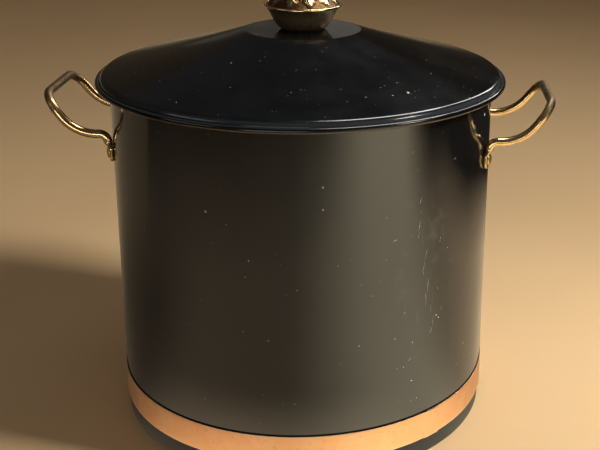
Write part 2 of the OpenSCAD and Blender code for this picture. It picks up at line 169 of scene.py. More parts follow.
class Finishes(bpy.types.PropertyGroup):
    """Colours of the object's finishes"""

    tub_black: tint("Tub black", "Satin enamel of the tub", (0.0055, 0.0058, 0.0070))
    lid_black: tint("Lid black", "Gloss enamel of the lid", (0.0042, 0.0044, 0.0048))
    copper: tint("Copper", "Polished copper of the band", (0.93, 0.50, 0.26))
    copper_dull: tint("Dull copper", "Tarnish on the band", (0.34, 0.17, 0.09))
    brass: tint("Brass", "Polished brass of the handles", (0.90, 0.60, 0.28))
    brass_dull: tint("Dull brass", "Tarnish on the grips", (0.23, 0.165, 0.09))
    knob_dark: tint("Knob brass", "Dark patina of the knob's bowl", (0.55, 0.42, 0.24))
    gilt: tint("Gilt", "Polished leaves of the knob's cap", (0.98, 0.70, 0.32))
    gilt_deep: tint("Gilt recess", "Patina between the leaves", (0.11, 0.056, 0.024))
    steel: tint("Steel", "Plain steel of wires, washers and nut", (0.42, 0.42, 0.42))
    fleck: tint("Fleck", "Dust and chips on the enamel", (0.78, 0.75, 0.69))
    floor: tint("Floor", "The studio's floor and backdrop", (0.80, 0.56, 0.31))


def sizes(group):
    return getattr(bpy.context.scene, group)


def paint(name):
    """One of the finishes' colours as plain numbers."""
    return tuple(getattr(sizes("finishes"), name))


def darker(colour, share):
    return tuple(channel * share for channel in colour)


# ---- Outlines ----


def corner_round(before, corner, after, radius, steps):
    """Points of the round that takes a corner's place, in a plane or in space."""
    back, ahead = (before - corner).normalized(), (after - corner).normalized()
    half = back.angle(ahead) / 2
    centre = corner + (back + ahead).normalized() * (radius / math.sin(half))
    reach = radius / math.tan(half)
    first, last = corner + back * reach - centre, corner + ahead * reach - centre
    sweep = first.angle(last)
    return [
        centre
        + first * (math.sin(sweep * (1 - i / steps)) / math.sin(sweep))
        + last * (math.sin(sweep * i / steps) / math.sin(sweep))
        for i in range(steps + 1)
    ]


def rounded(corners, closed=True, steps=5):
    """A line through corners, each given as its coordinates and then the radius of its round."""
    places = [Vector(corner[:-1]) for corner in corners]
    count, line = len(corners), []
    for i, corner in enumerate(corners):
        at_end = not closed and i in (0, count - 1)
        if at_end or corner[-1] == 0:
            line.append(places[i])
        else:
            line += corner_round(
                places[i - 1], places[i], places[(i + 1) % count], corner[-1], steps
            )
    return line


def arc(centre, radius, start, end, steps):
    """Points on an arc in a plane, from one angle to another, in degrees."""
    line = []
    for i in range(steps + 1):
        angle = math.radians(start + (end - start) * i / steps)
        line.append(Vector(centre) + Vector((math.cos(angle), math.sin(angle))) * radius)
    return line


def smooth(low, high, value):
    """0 below low, 1 above high, and a soft rise between them."""
    t = min(1, max(0, (value - low) / (high - low)))
    return t * t * (3 - 2 * t)


def round_axis(radius, angle, height):
    """The point at a radius and an angle about the Z axis."""
    return Vector((radius * math.cos(angle), radius * math.sin(angle), height))


# ---- Modelling ----


def start_fresh():
    """Object mode with nothing selected."""
    if bpy.context.mode != "OBJECT":
        bpy.ops.object.mode_set(mode="OBJECT")
    bpy.ops.object.select_all(action="DESELECT")


def select_only(*objects):
    start_fresh()
    for thing in objects:
        thing.select_set(True)
    bpy.context.view_layer.objects.active = objects[0]


def draw_line(name, points, closed=False):
    """Extrude one point along a line of points. The new object is left in edit mode."""
    start_fresh()
    bpy.ops.mesh.primitive_plane_add(size=MM)
    piece = bpy.context.object
    piece.name = piece.data.name = name
    bpy.ops.object.mode_set(mode="EDIT")
    bpy.ops.mesh.select_mode(type="VERT")
    bpy.ops.mesh.select_all(action="SELECT")
    bpy.ops.mesh.merge(type="CENTER")
    bpy.ops.transform.translate(value=points[0])
    route = points + points[:1] if closed else points
    for a, b in zip(route, route[1:]):
        bpy.ops.mesh.extrude_region_move(TRANSFORM_OT_translate={"value": b - a})
    return piece


def face_out(piece, merge=False):
    """Turn a shape's faces outwards. With merge it is first closed where its points meet."""
    select_only(piece)
    bpy.ops.object.mode_set(mode="EDIT")
    bpy.ops.mesh.select_all(action="SELECT")
    if merge:
        bpy.ops.mesh.remove_doubles(threshold=SAME_PLACE)
    bpy.ops.mesh.normals_make_consistent(inside=False)
    bpy.ops.object.mode_set(mode="OBJECT")


def spin(steps, angle):
    """Sweep a line that is in edit mode about the Z axis."""
    bpy.ops.mesh.select_all(action="SELECT")
    bpy.ops.mesh.spin(steps=steps, angle=angle, center=(0, 0, 0), axis=(0, 0, 1))
    bpy.ops.object.mode_set(mode="OBJECT")


def turn(name, outline, steps=288, closed=True):
    """A shape turned about the Z axis from an outline of (radius, height) points."""
    piece = draw_line(name, [Vector((p[0], 0, p[1])) for p in outline], closed)
    spin(steps, TURN)
    face_out(piece, merge=True)
    return piece


def finish_modifier(piece, kind, **settings):
    """Add one modifier to a piece and apply it."""
    select_only(piece)
    bpy.ops.object.modifier_add(type=kind)
    modifier = piece.modifiers[-1]
    for name, value in settings.items():
        setattr(modifier, name, value)
    bpy.ops.object.modifier_apply(modifier=modifier.name)


def shade(piece, angle=SMOOTH_BELOW):
    select_only(piece)
    bpy.ops.object.shade_smooth_by_angle(angle=angle)


def put(piece, location=(0, 0, 0), rotation=(0, 0, 0), scale=(1, 1, 1)):
    """Move, turn and scale a piece and put that into its mesh."""
    select_only(piece)
    piece.location, piece.rotation_euler, piece.scale = location, rotation, scale
    bpy.ops.object.transform_apply(location=True, rotation=True, scale=True)


def copy_of(piece, name):
    """A copy of a piece with its own mesh."""
    select_only(piece)
    bpy.ops.object.duplicate(linked=False)
    copied = bpy.context.object
    copied.name = copied.data.name = name
    return copied


def join(name, parts):
    select_only(*parts)
    if len(parts) > 1:
        bpy.ops.object.join()
    joined = bpy.context.object
    joined.name = joined.data.name = name
    return joined


def move_points(piece, change):
    """Move every vertex of a piece to what change gives for it."""
    for vertex in piece.data.vertices:
        vertex.co = change(vertex.co)
    piece.data.update()


def hand_over(piece, body, material, slot, *nodes):
    """Give a finished piece its material and its body, and hide the imported nodes that it stands
    for.
    """
    piece.data.materials.clear()
    piece.data.materials.append(material)
    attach(piece, body)
    if nodes:
        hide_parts(*nodes)


# ---- Materials ----


class Finish:
    """A material in the making: a Principled shader and a short way to add what feeds it."""

    def __init__(self, name, **constants):
        self.material = bpy.data.materials.new(name)
        self.material.use_nodes = True
        self.tree = self.material.node_tree
        self.shader = self.tree.nodes["Principled BSDF"]
        self.place = self.tree.nodes.new("ShaderNodeTexCoord").outputs["Object"]
        for socket, value in constants.items():
            self.shader.inputs[socket.replace("_", " ")].default_value = value

    def add(self, kind, inputs, **settings):
        made = self.tree.nodes.new("ShaderNode" + kind)
        for name, value in settings.items():
            setattr(made, name, value)
        for name, value in inputs.items():
            if isinstance(value, bpy.types.NodeSocket):
                self.tree.links.new(value, made.inputs[name])
            else:
                made.inputs[name].default_value = value
        return made

    def feed(self, **sockets):
        for socket, value in sockets.items():
            self.tree.links.new(value, self.shader.inputs[socket.replace("_", " ")])

    def mapped(self, scale, location=(0, 0, 0)):
        return self.add(
            "Mapping", {"Vector": self.place, "Scale": scale, "Location": location}
        ).outputs[0]

    def noise(self, scale, detail=3, roughness=0.5, place=None, distortion=0):
        inputs = {"Scale": scale, "Detail": detail, "Roughness": roughness}
        inputs.update({"Vector": place or self.place, "Distortion": distortion})
        return self.add("TexNoise", inputs).outputs[0]

    def spots(self, scale, radius, keep):
        """Scattered round spots: 1 inside a spot. Keep is the share of cells that have one."""
        cells = self.add("TexVoronoi", {"Vector": self.place, "Scale": scale})
        inside = self.span(cells.outputs["Distance"], radius, radius * 0.5)
        chance = self.add("SeparateColor", {"Color": cells.outputs["Color"]}).outputs[0]
        return self.times(inside, self.calc("LESS_THAN", chance, keep))

    def span(self, value, low, high, to_low=0.0, to_high=1.0, kind="SMOOTHSTEP"):
        """A value from low to high mapped to a new span, clamped at both ends."""
        return self.add(
            "MapRange",
            {0: value, 1: low, 2: high, 3: to_low, 4: to_high},
            interpolation_type=kind,
        ).outputs[0]

    def calc(self, operation, a, b=0.0):
        return self.add("Math", {0: a, 1: b}, operation=operation).outputs[0]

    def times(self, a, b):
        return self.calc("MULTIPLY", a, b)

    def plus(self, a, b):
        return self.calc("ADD", a, b)

    def either(self, a, b):
        return self.calc("MAXIMUM", a, b)

    def blend(self, share, a, b):
        """Colour a where share is 0, colour b where it is 1."""
        a, b = (c if isinstance(c, bpy.types.NodeSocket) else (*c, 1) for c in (a, b))
        return self.add("Mix", {0: share, 6: a, 7: b}, data_type="RGBA").outputs[2]

    def part(self, axis):
        """One coordinate of the place on the object."""
        return self.add("SeparateXYZ", {"Vector": self.place}).outputs[axis]

    def bump(self, height, depth, normal=None):
        inputs = {"Height": height, "Distance": depth, "Strength": 1.0}
        if normal:
            inputs["Normal"] = normal
        return self.add("Bump", inputs).outputs[0]


def tub_enamel():
    """Satin black enamel with slight waves, orange peel, a scratched patch at the right and a
    painted highlight along the foot's lower edge.
    """
    black = paint("tub_black")
    made = Finish("tub_enamel", IOR=1.5, Specular_IOR_Level=1.0)
    waves, peel = made.noise(14, detail=2), made.noise(950, detail=2)
    cloud = made.noise(30, detail=5, roughness=0.6)
    streaks = made.noise(1, detail=4, roughness=0.7, place=made.mapped(scale=(620, 620, 26)))
    near_patch = made.add(
        "TexGradient",
        {"Vector": made.mapped(scale=(24, 24, 11), location=(-2.64, 2.94, -1.93))},
        gradient_type="SPHERICAL",
    ).outputs[0]
    scratch = made.times(made.span(streaks, 0.58, 0.68), made.span(near_patch, 0.05, 0.7))
    smear = made.span(made.noise(48, detail=4, roughness=0.7), 0.54, 0.74, 0, 0.22)
    smear = made.times(smear, made.span(near_patch, 0, 0.5))
    dust = made.either(made.spots(260, radius=0.16, keep=0.035), smear)
    marks_and_highlight = made.either(made.times(scratch, 0.3), dust)
    colour = made.blend(made.span(cloud, 0.35, 0.7), darker(black, 0.8), darker(black, 1.3))
    # Painted highlight: the foot ring's lowest 9 mm turn pale grey, where light catches its rolled
    # hem
    foot = made.times(made.span(made.part(2), 9 * MM, 3 * MM), 0.8)
    marks_and_highlight = made.either(marks_and_highlight, made.times(foot, made.span(cloud, 0.3, 0.6)))
    # Scratches, dust and the painted foot highlight all take the same pale grey
    colour = made.blend(marks_and_highlight, colour, (0.16, 0.15, 0.14))
    rough = made.span(cloud, 0.3, 0.7, 0.09, 0.13)
    rough = made.plus(rough, made.times(marks_and_highlight, 0.2))
    normal = made.bump(peel, 0.012 * MM, made.bump(waves, 0.35 * MM))
    made.feed(Base_Color=colour, Roughness=rough, Normal=normal)
    return made.material


def joint_black():
    """Painted shadow: a dull black ring that stands in for the shadowed gap where the wall meets
    the strip.
    """
    black = paint("tub_black")
    made = Finish("joint_black", IOR=1.3, Specular_IOR_Level=0.15)
    cloud = made.noise(300, detail=4)
    made.feed(
        Base_Color=made.blend(made.span(cloud, 0.4, 0.7), darker(black, 0.6), darker(black, 2)),
        Roughness=made.span(cloud, 0.3, 0.7, 0.6, 0.85),
    )
    return made.material


def lid_enamel():
    """Gloss black enamel with fine dust, a painted bluish reflection on the flange, and a painted
    warm reflection of the floor on the rim's underside.
    """
    black, lid = paint("lid_black"), sizes("lid_sizes")
    made = Finish("lid_enamel", IOR=1.5, Specular_IOR_Level=0.5)
    waves, peel = made.noise(16, detail=2), made.noise(700, detail=2)
    cloud = made.noise(22, detail=5, roughness=0.62)
    colour = made.blend(made.span(cloud, 0.35, 0.7), darker(black, 0.75), darker(black, 1.35))
    dust = made.spots(330, radius=0.17, keep=0.06)
    colour = made.blend(dust, colour, (0.20, 0.19, 0.18))
    height = made.part(2)
    # Painted reflection: the flange between the shoulder and the bead takes a bluish tone
    over_bead = made.span(height, lid.bead_z + 1.4 * MM, lid.bead_z + 2.6 * MM)
    flange = made.times(over_bead, made.span(height, lid.bead_z + 6.5 * MM, lid.bead_z + 4 * MM))
    colour = made.blend(flange, colour, (0.026, 0.031, 0.037))
    # Painted reflection: the bead's underside turns warm brown, standing in for the floor that it
    # mirrors
    wear_and_reflection = made.span(height, lid.bead_z - 0.4 * MM, lid.bead_z - 1.3 * MM)
    wear_and_reflection = made.times(wear_and_reflection, made.span(cloud, 0.25, 0.55, 0.3, 1))
    colour = made.blend(wear_and_reflection, colour, (0.105, 0.082, 0.060))
    rough = made.span(cloud, 0.3, 0.7, 0.10, 0.19)
    rough = made.plus(rough, made.times(dust, 0.4))
    normal = made.bump(peel, 0.008 * MM, made.bump(waves, 0.22 * MM))
    made.feed(Base_Color=colour, Roughness=rough, Normal=normal)
    return made.material


def band_copper():
    """Copper strip with cloudy tarnish, polishing lines along it and painted highlights along both
    edges.
    """
    tub, copper, dull = sizes("tub_sizes"), paint("copper"), paint("copper_dull")
    made = Finish("band_copper", Metallic=1.0)
    cloud = made.noise(36, detail=6, roughness=0.62, distortion=0.6)
    fine = made.noise(240, detail=4, roughness=0.6)
    lines = made.noise(1, detail=3, roughness=0.6, place=made.mapped(scale=(26, 26, 900)))
    spots = made.spots(120, radius=0.2, keep=0.025)
    height = made.part(2)
    # Painted highlight: the strip's upper and lower 0.9 mm turn a pale pinkish copper
    bottom, top, edge_highlight_w = tub.band_z, tub.band_z + tub.band_w, 0.9 * MM
    edge = made.either(
        made.span(height, bottom + edge_highlight_w, bottom), made.span(height, top - edge_highlight_w, top)
    )
    colour = made.blend(made.span(cloud, 0.32, 0.68), copper, (0.97, 0.60, 0.33))
    colour = made.blend(made.span(fine, 0.55, 0.8, 0, 0.3), colour, dull)
    colour = made.blend(made.times(spots, 0.8), colour, darker(dull, 0.6))
    # The painted edge highlight
    colour = made.blend(made.times(edge, 0.7), colour, (0.97, 0.70, 0.55))
    rough = made.span(cloud, 0.3, 0.7, 0.50, 0.60)
    rough = made.plus(rough, made.span(lines, 0.3, 0.7, -0.04, 0.05, "LINEAR"))
    normal = made.bump(lines, 0.01 * MM, made.bump(cloud, 0.18 * MM))
    made.feed(Base_Color=colour, Roughness=rough, Normal=normal)
    return made.material


def handle_brass():
    """Polished brass rod, tarnished grey-brown and roughened where hands hold the grip."""
    handle, brass, dull = sizes("handle_sizes"), paint("brass"), paint("brass_dull")
    made = Finish("handle_brass", Metallic=0.96)
    cloud = made.noise(90, detail=5, roughness=0.65)
    grain = made.noise(900, detail=3, roughness=0.6)
    uneven = made.span(cloud, 0.3, 0.7, -3 * MM, 3 * MM, "LINEAR")
    reach = made.plus(made.calc("ABSOLUTE", made.part(0)), uneven)
    grip = made.span(reach, handle.grip_x - 11 * MM, handle.grip_x - 4 * MM)
    low = made.span(made.part(2), handle.grip_z - 12 * MM, handle.grip_z - 4 * MM)
    tarnish = made.times(grip, low)
    worn = made.spots(420, radius=0.3, keep=0.16)
    colour = made.blend(made.span(cloud, 0.35, 0.72), brass, darker(brass, 0.72))
    colour = made.blend(made.span(grain, 0.62, 0.8, 0, 0.4), colour, dull)
    held = made.blend(made.span(cloud, 0.4, 0.7), dull, darker(dull, 0.55))
    held = made.blend(made.times(worn, 0.7), held, (0.55, 0.47, 0.34))
    colour = made.blend(tarnish, colour, held)
    rough = made.span(cloud, 0.3, 0.7, 0.15, 0.25)
    rough = made.plus(rough, made.times(tarnish, 0.28))
    pits = made.times(grain, made.span(tarnish, 0, 1, 0.04, 1, "LINEAR"))
    made.feed(Base_Color=colour, Roughness=rough, Normal=made.bump(pits, 0.09 * MM))
    return made.material


def knob_dark():
    """Spun brass bowl under a dark patina, with fine turned lines and a bright rim worn by
    handling.
    """
    knob, dark = sizes("knob_sizes"), paint("knob_dark")
    made = Finish("knob_brass_dark", Metallic=1.0)
    cloud = made.noise(130, detail=5, roughness=0.65)
    lines = made.noise(1, detail=3, roughness=0.6, place=made.mapped(scale=(30, 30, 1500)))
    rim_z = knob.bowl_z + knob.bowl_h
    rim = made.span(made.part(2), rim_z - 2.1 * MM, rim_z - 1.5 * MM)
    wear_and_reflection = made.times(rim, made.span(cloud, 0.25, 0.5, 0.55, 1.0))
    colour = made.blend(made.span(cloud, 0.35, 0.7), dark, darker(dark, 0.45))
    colour = made.blend(wear_and_reflection, colour, (0.90, 0.66, 0.32))
    rough = made.span(cloud, 0.3, 0.7, 0.38, 0.52)
    rough = made.calc("SUBTRACT", rough, made.times(wear_and_reflection, 0.25))
    normal = made.bump(lines, 0.008 * MM, made.bump(cloud, 0.06 * MM))
    made.feed(Base_Color=colour, Roughness=rough, Normal=normal)
    return made.material


def knob_gilt():
    """Gilt leaves, bright where they stand out and brown in the recesses."""
    made = Finish("knob_brass_bright", Metallic=1.0)
    relief = made.add("Attribute", {}, attribute_name="relief").outputs["Fac"]
    cloud = made.noise(420, detail=4, roughness=0.6)
    grain = made.noise(1600, detail=2)
    raised = made.plus(relief, made.span(cloud, 0.3, 0.7, -0.30, 0.30, "LINEAR"))
    colour = made.blend(made.span(raised, 0.28, 0.86), paint("gilt_deep"), paint("gilt"))
    rough = made.span(raised, 0.2, 0.8, 0.40, 0.16)
    normal = made.bump(grain, 0.02 * MM, made.bump(cloud, 0.3 * MM))
    made.feed(Base_Color=colour, Roughness=rough, Normal=normal)
    return made.material


def wire_steel():
    """Plain drawn steel with a faint grain."""
    steel = paint("steel")
    made = Finish("wire_steel", Metallic=1.0)
    cloud = made.noise(160, detail=5, roughness=0.6)
    grain = made.noise(1400, detail=2)
    colour = made.blend(made.span(cloud, 0.35, 0.7), steel, darker(steel, 0.6))
    made.feed(
        Base_Color=colour,
        Roughness=made.span(cloud, 0.3, 0.7, 0.3, 0.5),
        Normal=made.bump(grain, 0.03 * MM),
    )
    return made.material


def floor_enamel():
    """The tub's black floor disc, dulled and scratched by coal."""
    black = paint("tub_black")
    made = Finish("floor_enamel", IOR=1.4, Specular_IOR_Level=0.4)
    cloud = made.noise(24, detail=6, roughness=0.7)
    grit = made.spots(190, radius=0.22, keep=0.3)
    colour = made.blend(made.span(cloud, 0.4, 0.7), darker(black, 1.2), (0.035, 0.033, 0.031))
    colour = made.blend(made.times(grit, 0.6), colour, (0.004, 0.004, 0.004))
    rough = made.span(cloud, 0.35, 0.65, 0.38, 0.7)
    made.feed(Base_Color=colour, Roughness=rough, Normal=made.bump(grit, 0.15 * MM))
    return made.material


def fleck_grey():
    """Chipped enamel and dust."""
    pale = paint("fleck")
    made = Finish("fleck_grey", Specular_IOR_Level=0.3)
    cloud = made.noise(500, detail=3)
    made.feed(
        Base_Color=made.blend(made.span(cloud, 0.35, 0.65), pale, darker(pale, 0.5)),
        Roughness=made.span(cloud, 0.3, 0.7, 0.5, 0.8),
    )
    return made.material


def studio_floor():
    """Plain pale floor and backdrop. Polish mirrors a floor lit by a window, in a dim room."""
    pale = paint("floor")
    made = Finish("studio_floor", Specular_IOR_Level=0.1)
    cloud = made.noise(2.2, detail=3)
    made.feed(
        Base_Color=made.blend(made.span(cloud, 0.3, 0.7), pale, darker(pale, 0.94)),
        Roughness=made.span(cloud, 0.3, 0.7, 0.75, 0.85),
    )
    bright, colour = mirrored_floor(made)
    dim_room = made.span(made.part(2), 0.01, 0.30, 1, 0.15)
    light = made.add("Emission", {"Color": colour, "Strength": made.times(bright, dim_room)})
    polish = made.add("LightPath", {}).outputs["Is Glossy Ray"]
    mixed = made.add("MixShader", {0: polish, 1: made.shader.outputs[0], 2: light.outputs[0]})
    output = made.tree.nodes["Material Output"]
    made.tree.links.new(mixed.outputs[0], output.inputs["Surface"])
    return made.material


def mirrored_floor(made):
    """The floor's strength and colour in polish, by direction from the tub and distance.

    Directions are in degrees about the tub from the right handle: -90 is the front.
    """
    heading = made.calc("ARCTAN2", made.part(1), made.part(0))
    away = made.add("VectorMath", {0: made.place}, operation="LENGTH").outputs["Value"]

    def between(first, last, low=0.0, high=1.0):
        return made.span(heading, math.radians(first), math.radians(last), low, high)

    def dimmed(bright, loss, mask, *more):
        for other in more:
            mask = made.times(mask, other)
        return made.times(bright, made.calc("SUBTRACT", 1.0, made.times(mask, loss)))

    # A window's light lies on the front right, over an even dim level
    window = made.times(between(-95, -44), between(-34, -6, 1, 0.42))
    window = made.times(window, between(25, 110, 1, 0))
    bright = made.plus(made.times(window, 1.04), 0.33)
    # At the right it ends half a metre away, at the front right it grows a little with distance
    right = made.times(between(-31, -11), between(60, 110, 1, 0))
    reach = made.times(away, between(-5, 25, 1, 1.25))
    bright = dimmed(bright, 0.97, right, made.span(reach, 0.52, 0.86, kind="LINEAR"))
    far = made.span(away, 0.45, 1.05, kind="LINEAR")
    bright = dimmed(bright, -0.20, between(-31, -11, 1, 0), far, window)
    # The front and the left are dark far away
    bright = dimmed(bright, 0.80, between(-78, -50, 1, 0), far)
    front_left = made.times(between(-160, -135), between(-120, -95, 1, 0))
    bright = dimmed(bright, 0.35, front_left, far)
    # The tub's shadow darkens the left, most of all close to the tub
    left = made.either(between(110, 160), between(-175, -130, 1, 0))
    bright = dimmed(bright, 0.45, left)
    bright = dimmed(bright, 0.5, left, made.span(away, 0.65, 0.30))
    # Painted light: the mirrored floor shines brighter close to the strip at the front left
    beside = made.times(between(-165, -105), between(-35, -70))
    by_strip = made.times(made.span(away, 0.27, 0.19), beside)
    bright = made.plus(bright, made.times(by_strip, 0.75))
    colour = made.blend(between(-110, -60), (1, 0.76, 0.50), (1, 0.86, 0.58))
    return bright, made.blend(between(-35, 5), colour, (1, 0.74, 0.44))


# ---- Pieces ----


class MESH_OT_coal_tub_wall(bpy.types.Operator):
    """Model the rolled wall with its curled top edge and its lapped seam"""

    bl_idname = "mesh.coal_tub_wall"
    bl_label = "Wall"

    def execute(self, context):
        tub = sizes("tub_sizes")
        inner_r, edge = tub.wall_r - tub.wall_t, 0.2 * MM
        centre, curl_end = (inner_r + tub.curl_r, tub.curl_z), -115
        upright = rounded(
            [
                (inner_r, tub.wall_foot, edge),
                (tub.wall_r, tub.wall_foot, edge),
                (tub.wall_r, tub.curl_z, 0),
                (inner_r, tub.curl_z, 0),
            ]
        )
        outline = upright[:-2]  # the curl takes the place of the two upper corners
        outline += arc(centre, tub.curl_r - tub.wall_t, 180, curl_end, 24)
        outline += arc(centre, tub.curl_r, curl_end, 180, 30)
        wall = join("tub_wall", [turn("tub_wall", outline), self.lap(tub)])
        shade(wall)
        hand_over(wall, "bucket", tub_enamel(), "tub_enamel", "body_shell")
        hand_over(self.joint(tub), "bucket", joint_black(), "tub_enamel")
        return {"FINISHED"}

    def joint(self, tub):
        """A dark matte ring along the strip's upper edge, painted shadow for the gap there."""
        low, high = tub.band_z + tub.band_w - 0.1 * MM, tub.band_z + tub.band_w + 1.3 * MM
        inner, outer, edge = tub.wall_r - 0.2 * MM, tub.wall_r + 0.35 * MM, 0.15 * MM
        corners = [(inner, low, 0), (outer, low, edge), (outer, high, edge), (inner, high, 0)]
        line = turn("wall_joint", rounded(corners))
        shade(line)
        return line

    def lap(self, tub):
        """The wall's lapped end: it steps up at one side and ends sharply at the other."""
        low, high = tub.band_z + tub.band_w + 1 * MM, tub.curl_z - 3.95 * MM
        start_fresh()
        bpy.ops.mesh.primitive_grid_add(x_subdivisions=28, y_subdivisions=260, size=1)
        lap = bpy.context.object
        lap.name = lap.data.name = "wall_lap"
        weld_gap, weld_r, weld_depth, weld_at = 24 * MM, 2.6 * MM, 0.28 * MM, 2 * MM

        def onto_wall(place):
            across, height = place.x * tub.lap_w, low + (place.y + 0.5) * (high - low)
            rise = tub.lap_rise * smooth(-0.5, -0.12, place.x)
            if place.x > 0.49:  # the sharp end is rounded a little
                rise *= 0.75
            to_weld = (height - low) % weld_gap - weld_gap / 2
            reach = math.hypot(to_weld, across - weld_at) / weld_r
            rise -= weld_depth * (1 - smooth(0.55, 1.0, reach))
            radius = tub.wall_r + max(rise, 0.02 * MM)
            return round_axis(radius, math.pi / 2 - across / tub.wall_r, height)

        move_points(lap, onto_wall)
        face_out(lap)
        finish_modifier(lap, "SOLIDIFY", thickness=0.5 * MM, offset=-1)
        return lap


class MESH_OT_coal_tub_foot(bpy.types.Operator):
    """Model the foot ring with its folded hem"""

    bl_idname = "mesh.coal_tub_foot"
    bl_label = "Foot ring"

    def execute(self, context):
        tub = sizes("tub_sizes")
        outer, sheet = tub.hoop_r, tub.hoop_t
        inner, fold = outer - sheet, outer - sheet - tub.hem_gap
        edge, bend = 0.3 * MM, 0.35 * MM
        corners = [
            (inner, tub.hoop_h, edge),
            (inner, sheet, bend),
            (fold, sheet, bend),
            (fold, tub.hem_h, edge),
            (fold - sheet, tub.hem_h, edge),
            (fold - sheet, 0, sheet * 0.9),
            (outer, 0, sheet * 0.9),
            (outer, tub.hoop_h, edge),
        ]
        hoop = turn("foot_hoop", rounded(corners))
        shade(hoop)
        hand_over(hoop, "bucket", bpy.data.materials["tub_enamel"], "tub_enamel", "foot_ring")
        return {"FINISHED"}


class MESH_OT_coal_tub_band(bpy.types.Operator):
    """Model the copper strip, bent round the wall with its ends lapped"""

    bl_idname = "mesh.coal_tub_band"
    bl_label = "Copper band"

    def execute(self, context):
        tub = sizes("tub_sizes")
        steps, sweep = 365, TURN + tub.band_lap
        low, high = tub.band_z, tub.band_z + tub.band_w
        heights = [low, low + 5 * MM, (low + high) / 2, high - 5 * MM, high]
        strip = draw_line("copper_strip", [Vector((tub.band_r, 0, z)) for z in heights])
        spin(steps, sweep)
        step_up, step_end = TURN - math.radians(1.5), TURN - math.radians(0.1)
        for index, vertex in enumerate(strip.data.vertices):
            gone = sweep * (index // len(heights)) / steps
            rise = (tub.band_t + 0.03 * MM) * smooth(step_up, step_end, gone)
            vertex.co = round_axis(tub.band_r + rise, tub.band_lap_at + gone, vertex.co.z)
        face_out(strip)
        finish_modifier(strip, "SOLIDIFY", thickness=tub.band_t, offset=self.outwards(strip))
        finish_modifier(
            strip, "BEVEL", width=0.38 * MM, segments=4,
            limit_method="ANGLE", angle_limit=math.radians(60),
        )
        shade(strip)
        hand_over(strip, "bucket", band_copper(), "band_copper", "copper_band")
        return {"FINISHED"}

    def outwards(self, piece):
        """The side on which a sheet gets its thickness so that it grows away from the axis."""
        face = piece.data.polygons[0]
        return 1 if face.normal.dot(Vector((*face.center.xy, 0))) > 0 else -1


class MESH_OT_coal_tub_handles(bpy.types.Operator):
    """Model one bent rod handle with hammered feet, and its copy across the tub"""

    bl_idname = "mesh.coal_tub_handles"
    bl_label = "Handles"

    def execute(self, context):
        handle = sizes("handle_sizes")
        right = self.bent_rod(handle)
        self.hammer_feet(right, handle)
        shade(right)
        left = copy_of(right, "handle_rod_left")
        put(left, rotation=(0, 0, math.pi))
        brass = handle_brass()
        hand_over(right, "bucket", brass, "handle_brass", "handle_right")
        hand_over(left, "bucket", brass, "handle_brass", "handle_left")
        return {"FINISHED"}

    def bent_rod(self, handle):
        """A round rod along the handle's corners, with closely set rings in its feet."""
        x, y, foot_w = handle.foot_x, handle.leg_y, handle.foot_w
        foot_top = handle.leg_z - 11 * MM
        half = [
            (x, y, foot_top, 0),
            (x, y, handle.leg_z, handle.foot_bend),
            (handle.leg_end, y, handle.leg_z, handle.leg_bend),
            (handle.grip_x, handle.grip_y, handle.grip_z, handle.grip_bend),
        ]
        bends = rounded(
            half + [(a, -b, c, r) for a, b, c, r in reversed(half)], closed=False, steps=14
        )
        # Rings lie close where the foot's lower end is round, and evenly above
        round_z, end_r = handle.foot_z + foot_w / 2, foot_w / 2 * 0.999
        heights = [round_z - end_r * math.sin(math.radians(a)) for a in range(88, 0, -8)]
        straight, rings = foot_top - 0.5 * MM - round_z, 7
        heights += [round_z + straight * i / rings for i in range(rings + 1)]
        foot = [Vector((x, y, z)) for z in heights]
        line = foot + bends + [Vector((p.x, -p.y, p.z)) for p in reversed(foot)]
        rod = draw_line("handle_rod_right", line)
        select_only(rod)
        bpy.ops.object.convert(target="CURVE")
        curve = bpy.context.object
        curve.data.bevel_depth = handle.rod_r
        curve.data.bevel_resolution = 10
        curve.data.use_fill_caps = True
        curve.data.twist_mode = "MINIMUM"
        bpy.ops.object.convert(target="MESH")
        rod = bpy.context.object
        rod.name = rod.data.name = "handle_rod_right"
        face_out(rod, merge=True)
        return rod

    def hammer_feet(self, rod, handle):
        """Flatten the rod's ends to straps that lie on the wall, round at their lower end."""
        seat = math.hypot(handle.foot_x, handle.leg_y)
        foot_turn = math.atan2(handle.leg_y, handle.foot_x)
        flat_from, flat_at = handle.leg_z - 6.5 * MM, handle.leg_z - 12.5 * MM
        half_w, clear_of_feet = handle.foot_w / 2, handle.foot_x + 8 * MM
        round_z, squareness = handle.foot_z + half_w, 0.42

        def hammered(place):
            if place.z > flat_from or place.x > clear_of_feet:
                return place
            side = math.copysign(1, place.y)
            out = Vector((math.cos(foot_turn), side * math.sin(foot_turn), 0))
            along = Vector((-out.y, out.x, 0))
            offset = Vector((place.x - handle.foot_x, place.y - side * handle.leg_y, 0))
            a, b = offset.dot(out) / handle.rod_r, offset.dot(along) / handle.rod_r
            flat = 1 - smooth(flat_at, flat_from, place.z)
            narrow = math.sqrt(max(0, 1 - max(0, (round_z - place.z) / half_w) ** 2))
            size = math.hypot(a, b)
            if size < 0.01:
                a_flat = b_flat = 0
            else:
                a_flat = math.copysign(abs(a / size) ** squareness, a) * size
                b_flat = math.copysign(abs(b / size) ** squareness, b) * size * narrow
            # The strap thins towards its round end
            thick = handle.foot_t / 2 * (0.55 + 0.45 * min(1, narrow * 1.6))
            radial = (1 - flat) * (seat + a * handle.rod_r)
            radial += flat * (handle.foot_face + thick + a_flat * thick)
            beside = (1 - flat) * b * handle.rod_r + flat * b_flat * half_w
            return round_axis(radial, foot_turn * side + beside / seat, place.z)

        move_points(rod, hammered)


